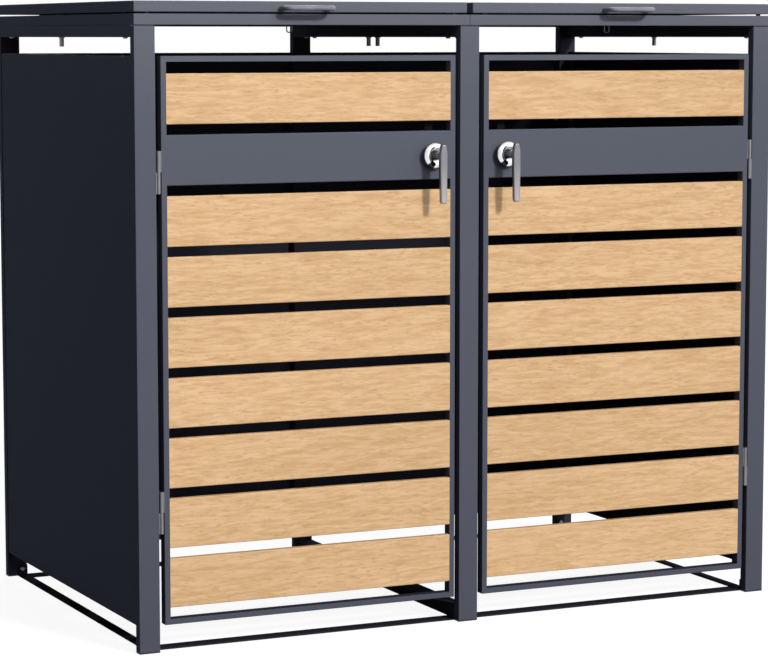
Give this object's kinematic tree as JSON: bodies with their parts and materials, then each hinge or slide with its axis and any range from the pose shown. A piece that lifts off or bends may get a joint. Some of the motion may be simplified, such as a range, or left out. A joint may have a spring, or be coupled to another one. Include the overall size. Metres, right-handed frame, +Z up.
{
  "type": "wheelie bin store",
  "caption": "Free-standing lockable store for wheelie bins: steel posts and panels, boarded side-hung doors with turning latches, and lids hinged at the back.",
  "frame": {"origin": "middle of the bounding box on the ground", "axes": "+X along the front to the right, +Y from the doors to the back, +Z up"},
  "size_m": [1.34, 0.8662, 1.182],
  "materials": {
    "anthracite": "fine-textured anthracite powder coat on steel",
    "oak_look": "pale oak decor on steel sheet, fine horizontal grain",
    "zinc": "zinc-plated steel",
    "black_zinc": "black-finished steel",
    "chrome": "polished chrome",
    "satin_metal": "satin metal",
    "silver_paint": "silver-grey coating on an oval steel bar",
    "plastic": "black moulded plastic",
    "rubber": "matt black rubber"
  },
  "bodies": {
    "frame": {"base_bar_middle": "anthracite", "base_strip_front": "anthracite", "base_strip_left": "anthracite", "base_strip_rear": "anthracite", "base_strip_right": "anthracite", "crossbar_left": "anthracite", "crossbar_middle": "anthracite", "crossbar_right": "anthracite", "crossbar_screws": "zinc", "frame_hinge_halves": "zinc", "lid_buffers": "rubber", "panel_screws": "zinc", "post_end_caps": "plastic", "post_front_left": "anthracite", "post_front_middle": "anthracite", "post_front_right": "anthracite", "post_rear_left": "anthracite", "post_rear_middle": "anthracite", "post_rear_right": "anthracite", "rear_panel_left": "anthracite", "rear_panel_right": "anthracite", "side_panel_left": "anthracite", "side_panel_right": "anthracite", "top_frame_bolts": "zinc", "top_frame_left": "anthracite", "top_frame_right": "anthracite"},
    "left_door": {"door_left_board_1": "oak_look", "door_left_board_3": "oak_look", "door_left_board_4": "oak_look", "door_left_board_5": "oak_look", "door_left_board_6": "oak_look", "door_left_board_7": "oak_look", "door_left_board_8": "oak_look", "door_left_board_9": "oak_look", "door_left_frame": "anthracite", "door_left_hinge_halves": "zinc", "door_left_latch_plate": "anthracite", "door_left_rose": "chrome"},
    "right_door": {"door_right_board_1": "oak_look", "door_right_board_3": "oak_look", "door_right_board_4": "oak_look", "door_right_board_5": "oak_look", "door_right_board_6": "oak_look", "door_right_board_7": "oak_look", "door_right_board_8": "oak_look", "door_right_board_9": "oak_look", "door_right_frame": "anthracite", "door_right_hinge_halves": "zinc", "door_right_latch_plate": "anthracite", "door_right_rose": "chrome"},
    "left_latch": {"latch_left_cam": "black_zinc", "latch_left_lever": "satin_metal"},
    "right_latch": {"latch_right_cam": "black_zinc", "latch_right_lever": "satin_metal"},
    "left_lid": {"lid_left": "anthracite", "lid_left_bow": "silver_paint", "lid_left_eye": "zinc"},
    "right_lid": {"lid_right": "anthracite", "lid_right_bow": "silver_paint", "lid_right_eye": "zinc"}
  },
  "joints": [
    {"name": "left_door_hinge", "type": "hinge", "parent": "frame", "child": "left_door", "pos_m": [-0.625, -0.38515, 0.567], "axis": [0, 0, -1], "range_deg": [0, 170]},
    {"name": "right_door_hinge", "type": "hinge", "parent": "frame", "child": "right_door", "pos_m": [0.625, -0.38515, 0.567], "axis": [0, 0, 1], "range_deg": [0, 170]},
    {"name": "left_latch_turn", "type": "hinge", "parent": "left_door", "child": "left_latch", "pos_m": [-0.077, -0.38515, 0.897], "axis": [0, 1, 0], "range_deg": [0, 90]},
    {"name": "right_latch_turn", "type": "hinge", "parent": "right_door", "child": "right_latch", "pos_m": [0.077, -0.38515, 0.897], "axis": [0, -1, 0], "range_deg": [0, 90]},
    {"name": "left_lid_hinge", "type": "hinge", "parent": "frame", "child": "left_lid", "pos_m": [-0.338, 0.42985, 1.1605], "axis": [-1, 0, 0], "range_deg": [0, 100]},
    {"name": "right_lid_hinge", "type": "hinge", "parent": "frame", "child": "right_lid", "pos_m": [0.338, 0.42985, 1.1605], "axis": [-1, 0, 0], "range_deg": [0, 100]}
  ]
}
